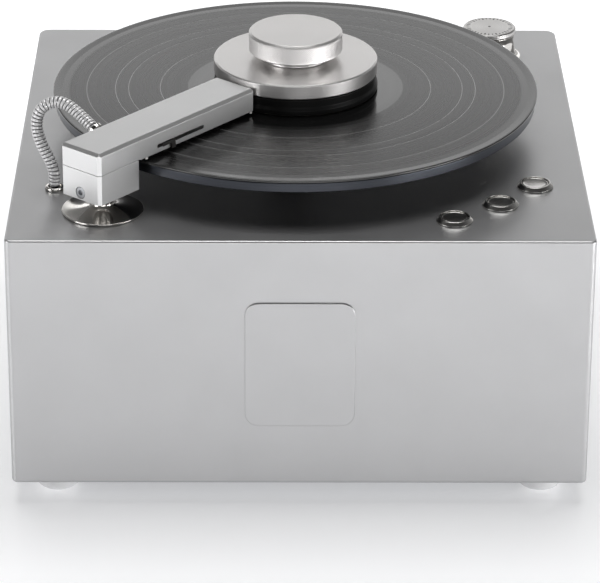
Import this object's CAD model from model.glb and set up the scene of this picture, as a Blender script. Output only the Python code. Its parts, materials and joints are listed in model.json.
"""The looks of a record cleaning machine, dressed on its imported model: a satin metal case, a platter with
a record under a screw-down clamp, a suction arm on a flared post with its ribbed hose, three push buttons
and a dial. Metres, +Z up, the table at zero height.
"""

import json
import math

import bmesh
import bpy
from mathutils import Matrix, Vector

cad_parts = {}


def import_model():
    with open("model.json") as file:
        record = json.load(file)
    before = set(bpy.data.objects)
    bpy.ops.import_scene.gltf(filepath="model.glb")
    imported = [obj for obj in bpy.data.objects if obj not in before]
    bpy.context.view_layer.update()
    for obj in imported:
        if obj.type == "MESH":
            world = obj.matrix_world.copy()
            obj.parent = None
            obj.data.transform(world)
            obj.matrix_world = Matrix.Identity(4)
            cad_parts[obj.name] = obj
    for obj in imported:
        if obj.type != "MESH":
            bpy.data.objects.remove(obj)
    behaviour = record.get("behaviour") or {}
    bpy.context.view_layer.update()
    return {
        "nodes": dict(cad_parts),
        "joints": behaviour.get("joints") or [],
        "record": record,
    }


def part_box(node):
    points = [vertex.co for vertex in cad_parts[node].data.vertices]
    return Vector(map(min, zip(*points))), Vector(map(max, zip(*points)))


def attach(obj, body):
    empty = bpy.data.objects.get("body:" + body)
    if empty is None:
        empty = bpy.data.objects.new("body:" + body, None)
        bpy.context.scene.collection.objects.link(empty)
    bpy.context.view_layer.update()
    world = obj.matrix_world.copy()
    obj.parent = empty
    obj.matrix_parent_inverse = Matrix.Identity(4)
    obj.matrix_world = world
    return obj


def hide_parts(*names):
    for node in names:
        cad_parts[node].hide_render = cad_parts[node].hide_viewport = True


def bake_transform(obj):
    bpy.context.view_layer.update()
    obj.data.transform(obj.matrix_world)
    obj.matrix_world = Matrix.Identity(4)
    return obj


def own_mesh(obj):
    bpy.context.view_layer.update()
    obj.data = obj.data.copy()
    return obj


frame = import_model()
NODES = frame["nodes"]

# Places, from the frame
CASE_LOW, CASE_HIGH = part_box("case_cover")
DECK = CASE_HIGH.z
MIDDLE_Y = (CASE_LOW.y + CASE_HIGH.y) / 2
FRONT_Y = CASE_LOW.y
BACK_Y = CASE_HIGH.y


def axis_of(joint):
    """The point that a joint's axis goes through."""
    found = next(row for row in frame["joints"] if row["name"] == joint)
    return Vector(found["pos_m"])


def centre_of(node):
    """The middle of a node's box."""
    low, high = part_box(node)
    return (low + high) / 2


PLATTER_AXIS = Vector((*axis_of("platter_spin").xy, DECK))
ARM_AXIS = Vector((*axis_of("arm_swing").xy, DECK))
DIAL_AXIS = Vector((*axis_of("dial_turn").xy, DECK))
GLAND = Vector((*centre_of("hose_gland").xy, DECK))
BUTTONS = [Vector((*centre_of(f"button_{number}_cap").xy, DECK)) for number in (1, 2, 3)]

# Gaps and small edges
SEAT_GAP = 0.0003
RUN_GAP = 0.0003
CUT_OVERRUN = 0.002
EDGE = 0.0003
FINE_EDGE = 0.0002

# Case
COVER_WALL = 0.003
FRONT_CORNER_RADIUS = 0.0035
REAR_CORNER_RADIUS = 0.007
TOP_ROUNDING = 0.0014
BOTTOM_ROUNDING = 0.0022
INNER_CORNER_RADIUS = 0.0012
POST_SIZE = 0.032
POST_BOTTOM = 0.0165
POST_TOP = 0.038
BADGE_CORNER_RADIUS = 0.0082
FEET = ("foot_front_left", "foot_front_right", "foot_rear_left", "foot_rear_right")
STUD_RADIUS = 0.003

# Record, platter and clamp: radii, and heights over the deck
RECORD_RADIUS = 0.1508
RECORD_TOP = 0.0286
RECORD_THICKNESS = 0.0016
RECORD_HOLE = 0.0038
RECORD_RIM = 0.00068
RECORD_BEAD = 0.0056
RECORD_SINK = 0.0002
LABEL_RADIUS = 0.0495
LABEL_THICKNESS = 0.0002
RUN_OUT_RADIUS = 0.067
LEAD_IN_RADIUS = 0.1408
TRACK_RADII = [0.0843, 0.1040, 0.1122, 0.1300]
TRACK_HALF_WIDTH = 0.00032
TRACK_DEPTH = 0.00006
PLATTER_RADIUS = 0.1495
PLATTER_TOP = 0.0267
PLATTER_THICKNESS = 0.006
PLATTER_HUB = 0.016
MAT_RADIUS = 0.146
MAT_THICKNESS = 0.001
SHAFT_RADIUS = 0.005
WASHER_TOP = 0.0074
SEAL_UNDER = RECORD_TOP + SEAT_GAP
SEAL_LIP_RADIUS = 0.0512
SEAL_LIP_HEIGHT = 0.0029
SEAL_RADIUS = 0.0503
SEAL_SLOPE_TOP = 0.0050
SEAL_HEIGHT = 0.0099
SEAL_BORE = 0.012
DISC_UNDER = SEAL_UNDER + SEAL_HEIGHT + SEAT_GAP
DISC_RADIUS = 0.0508
DISC_THICKNESS = 0.0092
DISC_CHAMFER = 0.0008
BOSS_RADIUS = 0.021
BOSS_HEIGHT = 0.0042
DISC_TOP = DISC_UNDER + DISC_THICKNESS
KNOB_RADIUS = 0.029
KNOB_UNDER = DISC_TOP + BOSS_HEIGHT + SEAT_GAP
KNOB_HEIGHT = 0.0128
KNOB_TOP = KNOB_UNDER + KNOB_HEIGHT
KNOB_CHAMFER = 0.0011
KNOB_STEM = 0.008
KNOB_STEM_LENGTH = 0.011
KNOB_BORE_TOP = 0.0035
SPINDLE_RADIUS = 0.0035
KNURL_PITCH = 0.0013
KNURL_DEPTH = 0.00034

# Arm, along its own +X from the post's axis, heights over the deck
ARM_ANGLE = math.radians(49.5)
ARM_BACK = 0.0187
ARM_WIDTH = 0.0314
BEAM_TOP = 0.0456
BEAM_UNDER = 0.0313
ARM_SEAM = 0.0320
ARM_CHAMFER = 0.0019
ARM_CORNER = 0.0018
BLOCK_LENGTH = 0.0357
BLOCK_UNDER = 0.0130
BLOCK_BORE_DEPTH = 0.012
SLOT_START = 0.0315
SLOT_END = 0.0730
SLOT_RISE = 0.0354
SLOT_HEIGHT = 0.0024
CHANNEL_START = 0.026
CHANNEL_END_WALL = 0.003
CHANNEL_WIDTH = 0.010
CHANNEL_DEPTH = 0.008
DUCT_RISE = 0.0372
DUCT_RADIUS = 0.0022
FITTING_X = 0.019
PEG_RADIUS = 0.0008
PEG_EDGE = 0.0012
PEG_LENGTH = 0.0016
PEG_FROM_BLOCK = 0.0062
PEG_FROM_TIP = 0.0029
LIP_START = 0.0246
LIP_WIDTH = 0.016
LIP_PROUD = 0.0015
LIP_THICKNESS = 0.0026
LIP_SLOT_WIDTH = 0.003
LIP_SLOT_MARGIN = 0.005
LIP_END_INSET = 0.0004
TAB_START = 0.0350
TAB_LENGTH = 0.0110
TAB_THICKNESS = 0.0014
TAB_PROUD = 0.0014
TAB_LEG_WIDTH = 0.0032
SCREW_RISE = 0.0176
SCREW_RADIUS = 0.0034
SCREW_DEPTH = 0.0030
SCREW_SHANK = 0.0020
SCREW_SOCKET = 0.0019
SCREW_SOCKET_DEPTH = 0.0017
POST_RADIUS = 0.005
COLLAR_RADIUS = 0.0068
COLLAR_HEIGHT = 0.0038
ARM_TRAVEL = 0.0008
FLARE_RADIUS = 0.0244
FLARE_RIM = 0.0012
FLARE_NECK_LENGTH = 0.0018

# Hose: its ribs, and its route from the arm's axis and the deck's top
HOSE_RADIUS = 0.0036
HOSE_VALLEY_RADIUS = 0.0030
HOSE_RIB_PITCH = 0.0022
HOSE_BORE_RADIUS = 0.0020
HOSE_ROUTE = [
    (-0.0324, 0.0331, 0.0170),
    (-0.0360, 0.0350, 0.0240),
    (-0.0388, 0.0371, 0.0302),
    (-0.0404, 0.0391, 0.0362),
    (-0.0403, 0.0407, 0.0420),
    (-0.0381, 0.0418, 0.0474),
    (-0.0338, 0.0423, 0.0509),
    (-0.0280, 0.0419, 0.0524),
    (-0.0222, 0.0403, 0.0512),
    (-0.0168, 0.0379, 0.0480),
]
GLAND_RADIUS = 0.0057
GLAND_HEIGHT = 0.0021
GLAND_ROUNDING = 0.0008
GLAND_BODY = 0.004
GLAND_DEPTH = 0.009
GLAND_MOUTH_RADIUS = 0.0040
GLAND_MOUTH_DEPTH = 0.0013
FITTING_BASE_RADIUS = 0.0045
FITTING_BASE_LENGTH = 0.0010
FITTING_ELBOW_OUT = 0.0022
FITTING_ELBOW_LENGTH = 0.0065
FITTING_ELBOW_ANGLE = math.radians(27)
ELBOW_BEND_SHARES = [0.5, 0.3]
FITTING_RADIUS = 0.0032
FITTING_CUP_RADIUS = 0.0047
FITTING_CUP_LENGTH = 0.0024

# Buttons and dial
BEZEL_RADIUS = 0.011
BEZEL_TOP = SEAT_GAP + 0.0025
BEZEL_CHAMFER = 0.0008
BEZEL_FOOT = SEAT_GAP + 0.0005
BEZEL_CREST = 0.0092
BARREL_RADIUS = 0.0095
BARREL_DEPTH = 0.016
BARREL_FLOOR = 0.003
CAP_RADIUS = 0.008
CAP_SINK = 0.0005
CAP_SKIRT = 0.009
CAP_STEM = 0.003
CAP_DISH = 0.0005
BUTTON_TRAVEL = 0.0015
DIAL_BASE_RADIUS = 0.0207
DIAL_BASE_RIM = 0.0015
DIAL_COLUMN_RADIUS = 0.0170
DIAL_COLUMN_RISE = 0.0060
DIAL_WAIST_RADIUS = 0.0159
DIAL_WAIST_RISE = 0.0140
DIAL_SHOULDER_RADIUS = 0.0167
DIAL_KNOB_RADIUS = 0.0172
DIAL_KNOB_THICKNESS = 0.0037
DIAL_TOP = 0.0215
DIAL_ROUNDING = 0.0008
DIAL_SHAFT = 0.003
DIAL_SHAFT_GRIP = 0.0020

# Lift spring
SPRING_COIL_RADIUS = 0.0059
SPRING_WIRE_RADIUS = 0.0007
SPRING_TURNS = 6
SPRING_STEPS = 48
SPRING_SIDES = 12

# Rear panel: widths, heights and depths
PANEL_CORNER_RADIUS = 0.0018
PANEL_EDGE = 0.0005
INLET_FLANGE = (0.030, 0.023, 0.002)
INLET_BODY = (0.0265, 0.0190, 0.022)
INLET_CAVITY = (0.0242, 0.0162, 0.018)
INLET_CAVITY_CORNERS = (0.0040, 0.0008, 0.0008, 0.0040)
INLET_PIN = (0.002, 0.014, 0.004)
INLET_PIN_SPACING = 0.0072
INLET_PIN_RISE = 0.002
SWITCH_FLANGE = (0.015, 0.021, 0.0016)
SWITCH_BODY = (0.0128, 0.0188, 0.016)
SWITCH_CAVITY = (0.0108, 0.0170, 0.0095)
SWITCH_CAVITY_CORNERS = (0.0008, 0.0008, 0.0008, 0.0008)
ROCKER_WIDTH = 0.0102
ROCKER_HALF_HEIGHT = 0.0076
ROCKER_BACK = 0.003
ROCKER_FRONT = 0.0030
ROCKER_DIP = 0.0012
ROCKER_TILT = math.radians(8)
GRILLE_CORNER_RADIUS = 0.003
GRILLE_OPENING = (0.034, 0.034, 0)
GRILLE_SLOT_HEIGHT = 0.003
GRILLE_SLOTS = 6
COCK_STUB_RADIUS = 0.005
COCK_BORE_RADIUS = 0.003
COCK_FLANGE_RADIUS = 0.010
COCK_FLANGE_THICKNESS = 0.0025
COCK_BARREL_RADIUS = 0.007
SPOUT_RADIUS = 0.0048
SPOUT_DROP = 0.016
SPOUT_INSET = 0.006
LEVER_HUB_RADIUS = 0.0042
LEVER_HUB_HEIGHT = 0.005
LEVER_LENGTH = 0.026
LEVER_WIDTH = 0.006
LEVER_THICKNESS = 0.0024

# Fineness of the turned pieces
LARGE_STEPS = 384
MEDIUM_STEPS = 128
SMALL_STEPS = 64
TINY_STEPS = 32
ROUNDING_STEPS = 5
SHARP_ANGLE = math.radians(38)

ARM_TURN = Matrix.Rotation(ARM_ANGLE, 4, "Z")
ALONG_X = Matrix.Rotation(math.pi / 2, 4, "Y")
ALONG_Y = Matrix.Rotation(-math.pi / 2, 4, "X")
ACROSS_X = Matrix(((0, 0, 1, 0), (1, 0, 0, 0), (0, 1, 0, 0), (0, 0, 0, 1)))


# Outlines and meshes


def rounded(points, closed=False, steps=5):
    """An outline whose points may hold a third value, the radius of an arc in that corner's place."""
    found = []
    count = len(points)
    for index, point in enumerate(points):
        corner = Vector(point[:2])
        radius = point[2] if len(point) > 2 else 0
        if not radius or (not closed and index in (0, count - 1)):
            found.append(corner)
            continue
        to_last = Vector(points[index - 1][:2]) - corner
        to_next = Vector(points[(index + 1) % count][:2]) - corner
        half = to_last.angle(to_next) / 2
        reach = radius / math.tan(half)
        middle = to_last.normalized() + to_next.normalized()
        centre = corner + middle.normalized() * (radius / math.sin(half))
        start = corner + to_last.normalized() * reach - centre
        end = corner + to_next.normalized() * reach - centre
        first = math.atan2(start.y, start.x)
        turn = (math.atan2(end.y, end.x) - first + math.pi) % (2 * math.pi) - math.pi
        for step in range(steps + 1):
            angle = first + turn * step / steps
            found.append(centre + Vector((math.cos(angle), math.sin(angle))) * radius)
    return found


def rectangle(width, depth, *radii, centre=(0, 0)):
    """A rectangle from its front right corner, counter-clockwise, with one or four corner radii."""
    radii = list(radii) * (4 // len(radii)) if radii else [0] * 4
    half_x, half_y = width / 2, depth / 2
    corners = [(half_x, -half_y), (half_x, half_y), (-half_x, half_y), (-half_x, -half_y)]
    return [(x + centre[0], y + centre[1], radius) for (x, y), radius in zip(corners, radii)]


def mesh_object(name, bm, place=(0, 0, 0), turn=None, look=None):
    """A piece from a bmesh, smooth except at its sharp edges, with its flat faces kept flat."""
    bmesh.ops.recalc_face_normals(bm, faces=bm.faces)
    mesh = bpy.data.meshes.new(name)
    bm.to_mesh(mesh)
    bm.free()
    mesh.shade_smooth()
    mesh.set_sharp_from_angle(angle=SHARP_ANGLE)
    if look:
        mesh.materials.append(look)
    made = bpy.data.objects.new(name, mesh)
    bpy.context.scene.collection.objects.link(made)
    made.matrix_world = Matrix.Translation(place) @ (turn or Matrix.Identity(4))
    weighted = made.modifiers.new("Flat faces", "WEIGHTED_NORMAL")
    weighted.keep_sharp = True
    return made


def spun(profile, steps):
    """A bmesh of a profile of radius and height, turned about Z. A radius of zero is on the axis."""
    bm = bmesh.new()
    rings = []
    for radius, height in profile:
        if radius < FINE_EDGE / 100:
            rings.append([bm.verts.new((0, 0, height))])
            continue
        ring = []
        for step in range(steps):
            angle = 2 * math.pi * step / steps
            ring.append(bm.verts.new((radius * math.cos(angle), radius * math.sin(angle), height)))
        rings.append(ring)
    pairs = list(zip(rings, rings[1:]))
    if len(rings[0]) > 1 or len(rings[-1]) > 1:
        pairs.append((rings[-1], rings[0]))
    for one, other in pairs:
        for step in range(steps):
            corners = [one[step % len(one)], one[(step + 1) % len(one)]]
            corners += [other[(step + 1) % len(other)], other[step % len(other)]]
            unique = list(dict.fromkeys(corners))
            if len(unique) > 2:
                bm.faces.new(unique)
    return bm


def turned(name, profile, steps, place, look, turn=None, arc_steps=ROUNDING_STEPS):
    """A turned piece at its own axis. Profile points may hold a corner radius."""
    outline = rounded(profile, closed=profile[0][0] > 0, steps=arc_steps)
    return mesh_object(name, spun(outline, steps), place, turn, look)


def stacked(levels):
    """A bmesh of closed outlines of equal length at rising heights, with its ends filled."""
    bm = bmesh.new()
    rings = [[bm.verts.new((x, y, height)) for x, y in outline] for outline, height in levels]
    for one, other in zip(rings, rings[1:]):
        for index in range(len(one)):
            following = (index + 1) % len(one)
            bm.faces.new((one[index], one[following], other[following], other[index]))
    bm.faces.new(rings[0][::-1])
    bm.faces.new(rings[-1])
    return bm


def slab(corners, low, high, edge=0.0, low_edge=0.0, steps=3):
    """A bmesh of a rounded outline between two heights, with rounded top and bottom edges."""

    def shrunk(inset):
        points = []
        for x, y, radius in corners:
            side = math.copysign(inset, x - middle.x)
            end = math.copysign(inset, y - middle.y)
            points.append((x - side, y - end, max(radius - inset, FINE_EDGE / 4)))
        return rounded(points, closed=True)

    middle = sum((Vector(corner[:2]) for corner in corners), Vector((0, 0))) / len(corners)
    levels = []
    if low_edge:
        for step in range(steps + 1):
            angle = math.pi / 2 * step / steps
            levels.append((shrunk(low_edge * (1 - math.sin(angle))), low + low_edge * (1 - math.cos(angle))))
    else:
        levels.append((shrunk(0), low))
    if edge:
        for step in range(steps + 1):
            angle = math.pi / 2 * step / steps
            levels.append((shrunk(edge * (1 - math.cos(angle))), high - edge * (1 - math.sin(angle))))
    else:
        levels.append((shrunk(0), high))
    return stacked(levels)


def block(low, high):
    """A bmesh of a box between two corners, for a cutter or as a start."""
    bm = bmesh.new()
    size = Vector(high) - Vector(low)
    middle = (Vector(high) + Vector(low)) / 2
    bmesh.ops.create_cube(bm, size=1, matrix=Matrix.Translation(middle) @ Matrix.Diagonal((*size, 1)))
    return bm


def bevel(bm, chosen, width, segments=3):
    """Rounds or chamfers the edges whose two ends pass a test."""
    edges = [edge for edge in bm.edges if chosen(edge.verts[0].co, edge.verts[1].co)]
    bmesh.ops.bevel(
        bm,
        geom=edges,
        offset=width,
        offset_type="OFFSET",
        segments=segments,
        profile=0.5,
        affect="EDGES",
        clamp_overlap=True,
    )
    return bm


def soften(bm, width=FINE_EDGE, segments=2):
    """Rounds every sharp edge of a shape a little."""
    return bevel_edges(bm, [edge for edge in bm.edges if is_sharp(edge)], width, segments)


def is_sharp(edge):
    """Whether two faces meet at this edge at more than 25 degrees."""
    return len(edge.link_faces) == 2 and edge.calc_face_angle(0) > math.radians(25)


def bevel_edges(bm, edges, width, segments):
    """Rounds these edges."""
    bmesh.ops.bevel(
        bm,
        geom=edges,
        offset=width,
        offset_type="OFFSET",
        segments=segments,
        profile=0.5,
        affect="EDGES",
        clamp_overlap=True,
    )
    return bm


def join(*shapes):
    """One bmesh of several."""
    whole = bmesh.new()
    for bm in shapes:
        piece = bpy.data.meshes.new("piece")
        bm.to_mesh(piece)
        bm.free()
        whole.from_mesh(piece)
        bpy.data.meshes.remove(piece)
    return whole


def placed(bm, place=(0, 0, 0), turn=None):
    """Moves a bmesh."""
    bmesh.ops.transform(bm, matrix=Matrix.Translation(place) @ (turn or Matrix.Identity(4)), verts=bm.verts)
    return bm


def carved(bm, *cutters, operation="DIFFERENCE"):
    """A bmesh with others cut away, or joined to it."""
    meshes = []
    for shape in (bm, *cutters):
        bmesh.ops.recalc_face_normals(shape, faces=shape.faces)
        mesh = bpy.data.meshes.new("shape")
        shape.to_mesh(mesh)
        shape.free()
        meshes.append(bpy.data.objects.new("shape", mesh))
        bpy.context.scene.collection.objects.link(meshes[-1])
    base = meshes[0]
    for helper in meshes[1:]:
        modifier = base.modifiers.new("cut", "BOOLEAN")
        modifier.operation = operation
        modifier.solver = "EXACT"
        modifier.object = helper
    bpy.context.view_layer.update()
    result = bmesh.new()
    evaluated = base.evaluated_get(bpy.context.evaluated_depsgraph_get())
    result.from_mesh(evaluated.to_mesh())
    for obj in meshes:
        mesh = obj.data
        bpy.data.objects.remove(obj)
        bpy.data.meshes.remove(mesh)
    return result


def rod(radius, low, high, steps=SMALL_STEPS, place=(0, 0, 0), turn=None):
    """A bmesh of a plain round bar, for a cutter or as a start."""
    return placed(spun([(0, low), (radius, low), (radius, high), (0, high)], steps), place, turn)


def quarter(start, end, steps=16):
    """A quarter of an ellipse between two points of a profile, level at first and upright at last."""
    points = []
    for step in range(steps + 1):
        angle = math.pi / 2 * step / steps
        radius = start[0] + (end[0] - start[0]) * math.sin(angle)
        points.append((radius, start[1] + (end[1] - start[1]) * (1 - math.cos(angle))))
    return points


def dress(piece, body, slot, *nodes):
    """Rides a piece on its body, names its finish and hides the nodes that it stands for."""
    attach(piece, body)
    if nodes:
        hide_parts(*nodes)
    return piece


# Materials


class Look:
    """A Principled material, built up from nodes that work in the piece's own coordinates."""

    def __init__(self, name, colour, metallic=0.0, roughness=0.5, **sockets):
        self.material = bpy.data.materials.new(name)
        self.material.use_nodes = True
        self.material.diffuse_color = (*colour, 1)
        self.tree = self.material.node_tree
        self.shader = self.tree.nodes["Principled BSDF"]
        self.colour = (*colour, 1)
        self.roughness = roughness
        self.shader.inputs["Base Color"].default_value = self.colour
        self.shader.inputs["Metallic"].default_value = metallic
        self.shader.inputs["Roughness"].default_value = roughness
        for socket, value in sockets.items():
            self.shader.inputs[socket.replace("_", " ")].default_value = value
        self.place = self.add("ShaderNodeTexCoord").outputs["Object"]
        self.normal = None

    def add(self, kind, inputs=None, **settings):
        """A node with its settings and what its inputs take."""
        node = self.tree.nodes.new(kind)
        for key, value in settings.items():
            setattr(node, key, value)
        for key, value in (inputs or {}).items():
            self.give(node.inputs[key], value)
        return node

    def give(self, socket, value):
        """A link or a plain value for a socket."""
        if isinstance(value, bpy.types.NodeSocket):
            self.tree.links.new(value, socket)
        else:
            socket.default_value = value

    def math(self, operation, first, second=0.0):
        """The output of a Math node."""
        return self.add("ShaderNodeMath", {0: first, 1: second}, operation=operation).outputs[0]

    def stretched(self, scale):
        """The piece's coordinates times a scale on each axis."""
        return self.add("ShaderNodeMapping", {"Vector": self.place, "Scale": scale}).outputs[0]

    def noise(self, scale, detail=3.0, roughness=0.6, place=None):
        """Grey noise, from 0 to 1."""
        inputs = {"Scale": scale, "Detail": detail, "Roughness": roughness}
        inputs["Vector"] = self.place if place is None else place
        return self.add("ShaderNodeTexNoise", inputs).outputs[0]

    def radius(self):
        """How far a point is from the piece's own Z axis."""
        flat = self.add("ShaderNodeVectorMath", {0: self.place, 1: (1, 1, 0)}, operation="MULTIPLY")
        return self.add("ShaderNodeVectorMath", {0: flat.outputs[0]}, operation="LENGTH").outputs["Value"]

    def remap(self, value, low, high, new_low, new_high, kind="LINEAR"):
        """A value moved from one range to another, and kept in it."""
        inputs = {"Value": value, "From Min": low, "From Max": high, "To Min": new_low, "To Max": new_high}
        return self.add("ShaderNodeMapRange", inputs, interpolation_type=kind).outputs[0]

    def tint(self, factor, colour, base=None):
        """The base colour moved towards another by a factor."""
        inputs = {"Factor": factor, "A": self.colour if base is None else base, "B": (*colour, 1)}
        mix = self.add("ShaderNodeMix", data_type="RGBA")
        self.give(mix.inputs[0], inputs["Factor"])
        self.give(mix.inputs[6], inputs["A"])
        self.give(mix.inputs[7], inputs["B"])
        return mix.outputs[2]

    def paint(self, colour):
        """Takes a colour from a node."""
        self.give(self.shader.inputs["Base Color"], colour)
        return colour

    def rough(self, noise, spread):
        """Lets the roughness vary with a noise."""
        low, high = self.roughness - spread, self.roughness + spread
        self.give(self.shader.inputs["Roughness"], self.remap(noise, 0.3, 0.7, low, high))

    def bump(self, height, strength, distance):
        """Adds small relief."""
        inputs = {"Height": height, "Strength": strength, "Distance": distance}
        if self.normal:
            inputs["Normal"] = self.normal
        self.normal = self.add("ShaderNodeBump", inputs).outputs[0]
        self.give(self.shader.inputs["Normal"], self.normal)

    def round_tangent(self):
        """Stretches highlights along circles round the piece's Z axis."""
        tangent = self.add("ShaderNodeTangent", direction_type="RADIAL", axis="Z")
        self.give(self.shader.inputs["Tangent"], tangent.outputs[0])


def blasted(name, colour, roughness, metallic=1.0, grain=2600, strength=0.25, cloud=0.04):
    """Fine blasted and anodised metal: an even grain, with faint clouds in tone and gloss."""
    look = Look(name, colour, metallic, roughness)
    fine = look.noise(grain, 2.0, 0.7)
    wide = look.noise(22, 3.0, 0.5)
    darker = [value * (1 - cloud * 2.5) for value in colour]
    shade = look.math("ADD", look.math("MULTIPLY", fine, 0.5), look.math("MULTIPLY", wide, 0.5))
    look.paint(look.tint(look.remap(shade, 0.35, 0.65, 0.0, 1.0), darker))
    look.rough(look.math("ADD", look.math("MULTIPLY", fine, 0.4), look.math("MULTIPLY", wide, 0.6)), cloud)
    look.bump(fine, strength, 0.00008)
    return look.material


def brushed(name, colour, roughness, along=(30, 2600, 2600), strength=0.2):
    """Metal with a straight fine grain along one axis of the piece."""
    look = Look(name, colour, 1.0, roughness)
    grain = look.noise(1.0, 4.0, 0.65, look.stretched(along))
    wide = look.noise(40, 2.0, 0.5)
    darker = [value * 0.86 for value in colour]
    look.paint(look.tint(look.remap(grain, 0.35, 0.65, 0.0, 1.0), darker))
    look.rough(look.math("ADD", look.math("MULTIPLY", grain, 0.6), look.math("MULTIPLY", wide, 0.4)), 0.05)
    look.bump(grain, strength, 0.00005)
    return look.material


def lathe_turned(name, colour, roughness, pitch=0.00022, anisotropy=0.5, strength=0.2, spread=0.04):
    """Metal turned on a lathe: fine circles round the piece's axis and a highlight stretched by them."""
    look = Look(name, colour, 1.0, roughness, Anisotropic=anisotropy)
    look.round_tangent()
    look.shader.inputs["Anisotropic Rotation"].default_value = 0.25
    radius = look.radius()
    height = look.add("ShaderNodeSeparateXYZ", {"Vector": look.place}).outputs["Z"]
    line = look.math("ADD", radius, height)
    rings = look.add("ShaderNodeTexNoise", {"W": line, "Scale": 1 / pitch, "Detail": 3.0}, noise_dimensions="1D")
    wide = look.noise(30, 2.0, 0.5)
    darker = [value * 0.88 for value in colour]
    look.paint(look.tint(look.remap(rings.outputs[0], 0.35, 0.65, 0.0, 1.0), darker))
    mixed = look.math("MULTIPLY", rings.outputs[0], 0.7)
    look.rough(look.math("ADD", mixed, look.math("MULTIPLY", wide, 0.3)), spread)
    look.bump(rings.outputs[0], strength, 0.00004)
    return look.material


def moulded(name, colour, roughness, grain=900, strength=0.15, **sockets):
    """Moulded plastic or rubber with a faint grain and slightly uneven gloss."""
    look = Look(name, colour, 0.0, roughness, **sockets)
    fine = look.noise(grain, 2.0, 0.6)
    wide = look.noise(35, 3.0, 0.55)
    paler = [min(1.0, value * 1.12 + 0.003) for value in colour]
    look.paint(look.tint(look.remap(wide, 0.3, 0.7, 0.0, 1.0), paler))
    look.rough(wide, min(0.06, roughness * 0.5))
    look.bump(fine, strength, 0.00006)
    return look.material


def vinyl():
    """Pressed grooves: circles that spread the light, with bands of louder and quieter music."""
    look = Look("vinyl", (0.005, 0.005, 0.005), 0.0, 0.22, Anisotropic=0.25, Specular_IOR_Level=0.78)
    look.round_tangent()
    look.shader.inputs["Anisotropic Rotation"].default_value = 0.25
    radius = look.radius()
    groove = look.add("ShaderNodeTexNoise", {"W": radius, "Scale": 3300, "Detail": 2.0}, noise_dimensions="1D")
    band = look.add("ShaderNodeTexNoise", {"W": radius, "Scale": 210, "Detail": 4.0}, noise_dimensions="1D")
    music = look.math("MULTIPLY", step_at(look, radius, RUN_OUT_RADIUS), one_minus(look, lead_in(look, radius)))
    quiet = tracks(look, radius)
    loud = look.math("MULTIPLY", music, one_minus(look, quiet))
    tone = look.remap(band.outputs[0], 0.35, 0.65, 0.0, 0.6)
    colour = look.tint(look.math("MULTIPLY", tone, loud), (0.012, 0.012, 0.012))
    colour = look.tint(one_minus(look, step_at(look, radius, RUN_OUT_RADIUS)), (0.006, 0.006, 0.006), colour)
    colour = look.tint(look.math("MULTIPLY", lead_in(look, radius), 0.6), (0.02, 0.02, 0.02), colour)
    look.paint(look.tint(quiet, (0.22, 0.22, 0.22), colour))
    sum_rough = look.math("ADD", 0.26, look.math("MULTIPLY", tone, 0.04))
    inside = one_minus(look, step_at(look, radius, RUN_OUT_RADIUS))
    smooth = look.math("MAXIMUM", inside, look.math("MULTIPLY", lead_in(look, radius), 0.6))
    run_out = look.math("MULTIPLY", smooth, -0.16)
    look.give(look.shader.inputs["Roughness"], look.math("ADD", sum_rough, run_out))
    look.bump(look.math("MULTIPLY", groove.outputs[0], loud), 0.05, 0.00004)
    return look.material


def one_minus(look, value):
    """What is left of one."""
    return look.math("SUBTRACT", 1.0, value)


def step_at(look, value, edge, soft=0.0004):
    """Zero below an edge and one above it."""
    return look.remap(value, edge - soft, edge + soft, 0.0, 1.0)


def lead_in(look, radius):
    """One on the record's rim outside the music."""
    return step_at(look, radius, LEAD_IN_RADIUS, 0.0006)


def tracks(look, radius):
    """One on the narrow bands between the tracks."""
    total = None
    for place in TRACK_RADII:
        away = look.math("ABSOLUTE", look.math("SUBTRACT", radius, place))
        band = look.remap(away, TRACK_HALF_WIDTH * 0.5, TRACK_HALF_WIDTH, 1.0, 0.0)
        total = band if total is None else look.math("MAXIMUM", total, band)
    return total


def label_paper():
    """Matte label paper with a soft fibre."""
    look = Look("label_paper", (0.62, 0.58, 0.50), 0.0, 0.75)
    fibre = look.noise(1400, 4.0, 0.7)
    look.paint(look.tint(look.remap(fibre, 0.35, 0.65, 0.0, 1.0), (0.55, 0.51, 0.43)))
    look.rough(fibre, 0.06)
    look.bump(fibre, 0.3, 0.00005)
    return look.material


def velvet():
    """Short dark pile."""
    look = Look("velvet", (0.008, 0.007, 0.007), 0.0, 0.9, Sheen_Weight=0.03, Sheen_Roughness=0.4)
    pile = look.noise(3200, 3.0, 0.75)
    look.paint(look.tint(look.remap(pile, 0.3, 0.7, 0.0, 1.0), (0.018, 0.015, 0.014)))
    look.rough(pile, 0.08)
    look.bump(pile, 0.8, 0.0002)
    return look.material


def hose_plastic():
    """Clear ribbed plastic with a silvery winding in it."""
    look = Look("hose_plastic", (0.74, 0.74, 0.75), 0.35, 0.34, Coat_Weight=0.35, Coat_Roughness=0.15)
    fine = look.noise(700, 2.0, 0.6)
    crest = look.add("ShaderNodeAttribute", attribute_name="crest").outputs["Fac"]
    valley = look.remap(crest, 0.15, 0.75, 1.0, 0.0)
    plain = look.tint(look.remap(fine, 0.35, 0.65, 0.0, 1.0), (0.62, 0.61, 0.61))
    look.paint(look.tint(valley, (0.07, 0.07, 0.073), plain))
    look.rough(fine, 0.08)
    look.bump(fine, 0.2, 0.0001)
    return look.material


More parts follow.
